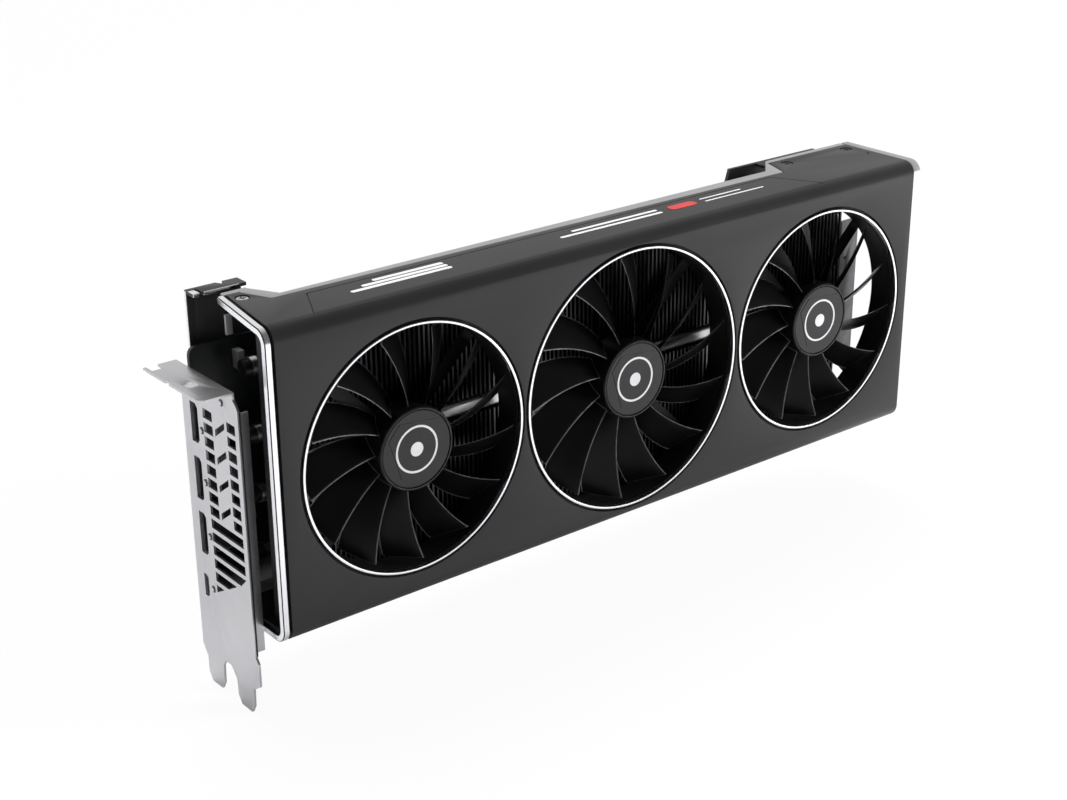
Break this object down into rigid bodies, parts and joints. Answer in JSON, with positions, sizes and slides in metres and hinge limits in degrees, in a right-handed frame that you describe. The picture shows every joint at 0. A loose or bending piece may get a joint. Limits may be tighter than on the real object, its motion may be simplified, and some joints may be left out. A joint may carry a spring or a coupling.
{
  "type": "graphics card",
  "caption": "Expansion card with a U-shaped shroud, a row of spinning axial fans over finned heat pipes, a board with an edge connector, and a slot bracket with ports.",
  "frame": {"origin": "bottom face of the long tongue of the edge connector, half way along the tongue and half way through the board", "axes": "+X from the slot bracket to the tail, -Y the way the fans look, +Z away from the host's slot"},
  "size_m": [0.3256, 0.0539, 0.1445],
  "materials": {
    "shroud_black": "fine satin black, slightly grained",
    "bright_trim": "bright polished metal",
    "frame_grey": "dark grey moulded plastic",
    "fan_black": "glossy black moulded blades",
    "badge_grey": "dark grey satin disc",
    "steel": "ground steel",
    "magnet_grey": "dark sintered magnet",
    "winding_copper": "enamelled copper winding",
    "fin_black": "black coated thin sheet",
    "pipe_nickel": "bright nickel plate over copper",
    "strip_grey": "grey satin sheet",
    "board_black": "black solder mask",
    "die_grey": "polished silicon",
    "chip_black": "black moulding compound",
    "pad_grey": "soft grey pad",
    "bracket_steel": "satin plated sheet steel",
    "port_steel": "plated port shell",
    "socket_black": "black nylon",
    "backplate_black": "black coated sheet",
    "spring_steel": "dark spring steel",
    "screw_steel": "plated screw"
  },
  "bodies": {
    "card": {"backplate": "backplate_black", "circuit_board": "board_black", "cold_plate": "pipe_nickel", "cooler_end_bracket": "strip_grey", "fan_frame": "frame_grey", "fan_mount_left": "frame_grey", "fan_mount_middle": "frame_grey", "fan_mount_right": "frame_grey", "fan_ring_left": "bright_trim", "fan_ring_middle": "bright_trim", "fan_ring_right": "bright_trim", "fan_stator_left": "winding_copper", "fan_stator_middle": "winding_copper", "fan_stator_right": "winding_copper", "fin_stack_left": "fin_black", "fin_stack_right": "fin_black", "gpu_die": "die_grey", "gpu_package": "board_black", "heat_pipe_1": "pipe_nickel", "heat_pipe_2": "pipe_nickel", "heat_pipe_3": "pipe_nickel", "heat_pipe_4": "pipe_nickel", "heat_pipe_front": "pipe_nickel", "io_bracket": "bracket_steel", "memory_chip_1": "chip_black", "memory_chip_2": "chip_black", "memory_chip_3": "chip_black", "memory_chip_4": "chip_black", "memory_chip_5": "chip_black", "memory_chip_6": "chip_black", "power_socket_left": "socket_black", "power_socket_right": "socket_black", "retention_bracket": "spring_steel", "round_port": "port_steel", "shroud_end_trim": "bright_trim", "shroud_screw_left": "screw_steel", "shroud_screw_middle": "screw_steel", "shroud_screw_right": "screw_steel", "shroud_shell": "shroud_black", "spring_screw_1": "screw_steel", "spring_screw_2": "screw_steel", "spring_screw_3": "screw_steel", "spring_screw_4": "screw_steel", "thermal_pad_left": "pad_grey", "thermal_pad_right": "pad_grey", "video_port_lower": "port_steel", "video_port_upper": "port_steel", "video_port_wide": "port_steel"},
    "fan_left": {"fan_rotor_left": "fan_black", "fan_badge_left": "badge_grey", "fan_shaft_left": "steel", "fan_magnet_left": "magnet_grey"},
    "fan_middle": {"fan_rotor_middle": "fan_black", "fan_badge_middle": "badge_grey", "fan_shaft_middle": "steel", "fan_magnet_middle": "magnet_grey"},
    "fan_right": {"fan_rotor_right": "fan_black", "fan_badge_right": "badge_grey", "fan_shaft_right": "steel", "fan_magnet_right": "magnet_grey"}
  },
  "joints": [
    {"name": "fan_left_spin", "type": "hinge", "parent": "card", "child": "fan_left", "pos_m": [-0.0367, -0.0462, 0.0714], "axis": [0, 1, 0], "continuous": true},
    {"name": "fan_middle_spin", "type": "hinge", "parent": "card", "child": "fan_middle", "pos_m": [0.0623, -0.0462, 0.0714], "axis": [0, 1, 0], "continuous": true},
    {"name": "fan_right_spin", "type": "hinge", "parent": "card", "child": "fan_right", "pos_m": [0.1613, -0.0462, 0.0714], "axis": [0, 1, 0], "continuous": true}
  ]
}
